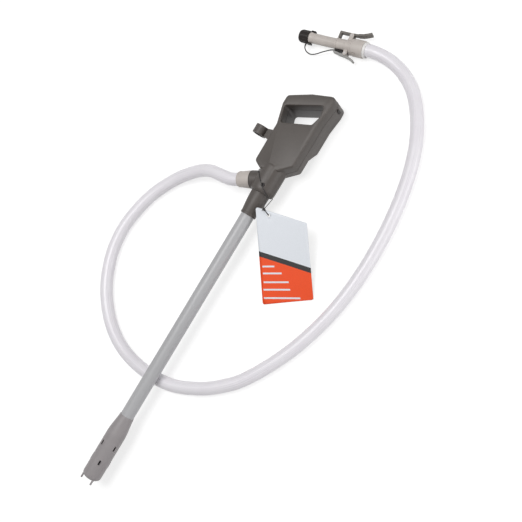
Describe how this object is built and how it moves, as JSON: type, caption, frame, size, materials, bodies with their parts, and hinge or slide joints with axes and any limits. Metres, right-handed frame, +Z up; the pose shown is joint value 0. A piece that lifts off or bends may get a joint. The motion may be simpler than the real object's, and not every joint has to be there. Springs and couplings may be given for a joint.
{
  "type": "fuel transfer pump",
  "caption": "Hand-held battery fuel transfer pump: moulded head with a slanted D-handle, long suction tube with a swollen pump foot, clear hose and an auto-stop nozzle with clip levers.",
  "frame": {"origin": "on the flat back face of the handle's heel, where the head rests, level with the tube's centre line in X", "axes": "+Z up, from the rest surface through the head's front; +Y along the suction tube from the foot towards the handle; +X to the right of the head seen from its front"},
  "size_m": [0.425, 0.822, 0.0544],
  "materials": {
    "head_plastic": "satin moulded",
    "tube_plastic": "satin extruded",
    "foot_plastic": "satin moulded",
    "pale_plastic": "satin moulded",
    "white_plastic": "satin moulded",
    "dark_lever": "satin moulded",
    "light_lever": "satin moulded",
    "black_plastic": "satin moulded",
    "black_rubber": "matt",
    "hose_clear": "clear flexible",
    "cord_black": "braided",
    "card": "printed card",
    "steel": "bright",
    "brass": "turned",
    "board": "laminate with parts",
    "cell": "sleeved"
  },
  "bodies": {
    "pump": {"front_shell": "head_plastic", "back_shell": "head_plastic", "shell_screws": "steel", "manifold": "head_plastic", "tube_seal": "black_rubber", "suction_tube": "tube_plastic", "foot_housing": "foot_plastic", "foot_cap": "foot_plastic", "shaft_bearings": "white_plastic", "motor": "steel", "motor_seal": "black_rubber", "battery_cells": "cell", "battery_tabs": "steel", "control_board": "board", "usb_socket": "steel", "button_switch": "black_plastic", "nozzle_holder": "head_plastic", "outlet_seal": "black_rubber", "hose": "hose_clear", "nozzle_ring": "white_plastic", "nozzle_body": "pale_plastic", "spout_tube": "pale_plastic", "level_sensor": "black_plastic", "lever_pins": "steel", "lever_springs": "steel", "tether_anchor": "black_rubber", "cap_tether": "black_rubber", "tag_string": "cord_black"},
    "drive": {"impeller": "black_plastic", "drive_shaft": "steel", "shaft_coupling": "brass", "motor_spindle": "steel"},
    "outlet_nut": {"outlet_nut": "pale_plastic"},
    "nozzle_nut": {"nozzle_nut": "pale_plastic"},
    "cap": {"nozzle_cap": "black_plastic"},
    "upper_lever": {"upper_lever": "dark_lever"},
    "lower_lever": {"lower_lever": "light_lever"},
    "button": {"power_button": "black_rubber"},
    "flap": {"port_flap": "black_rubber"},
    "tag": {"hang_tag": "card", "tag_knot": "cord_black"}
  },
  "joints": [
    {"name": "impeller_spin", "type": "hinge", "parent": "pump", "child": "drive", "pos_m": [0, -0.3, 0.0325], "axis": [0, 1, 0], "continuous": true},
    {"name": "outlet_nut_turn", "type": "hinge", "parent": "pump", "child": "outlet_nut", "pos_m": [0, -0.0816, 0.0325], "axis": [-0.9135, -0.4067, 0], "continuous": true},
    {"name": "nozzle_nut_turn", "type": "hinge", "parent": "pump", "child": "nozzle_nut", "pos_m": [0.019, 0.17, 0.0141], "axis": [-0.9877, -0.1564, 0], "continuous": true},
    {"name": "cap_pull", "type": "slide", "parent": "pump", "child": "cap", "axis": [-0.9877, -0.1564, 0], "range_m": [0, 0.025], "deforming": ["cap_tether"]},
    {"name": "upper_lever_swing", "type": "hinge", "parent": "pump", "child": "upper_lever", "pos_m": [-0.01329, 0.1821, 0.0141], "axis": [0, 0, -1], "range_deg": [0, 12], "stiffness_Nm_per_rad": 0.05, "springref_deg": -11.46},
    {"name": "lower_lever_swing", "type": "hinge", "parent": "pump", "child": "lower_lever", "pos_m": [-0.00847, 0.15168, 0.0141], "axis": [0, 0, 1], "range_deg": [0, 12], "stiffness_Nm_per_rad": 0.05, "springref_deg": -11.46},
    {"name": "button_press", "type": "slide", "parent": "pump", "child": "button", "axis": [-1, 0, 0], "range_m": [0, 0.0012], "stiffness_N_per_m": 600, "springref_m": -0.0004},
    {"name": "flap_swing", "type": "hinge", "parent": "pump", "child": "flap", "pos_m": [-0.03136, -0.0072, 0.02135], "axis": [0, 0, -1], "range_deg": [0, 110]},
    {"name": "tag_swing", "type": "hinge", "parent": "pump", "child": "tag", "pos_m": [0.0261, -0.12517, 0.04685], "axis": [-0.9723, -0.1996, 0.1217], "range_deg": [0, 50]}
  ]
}
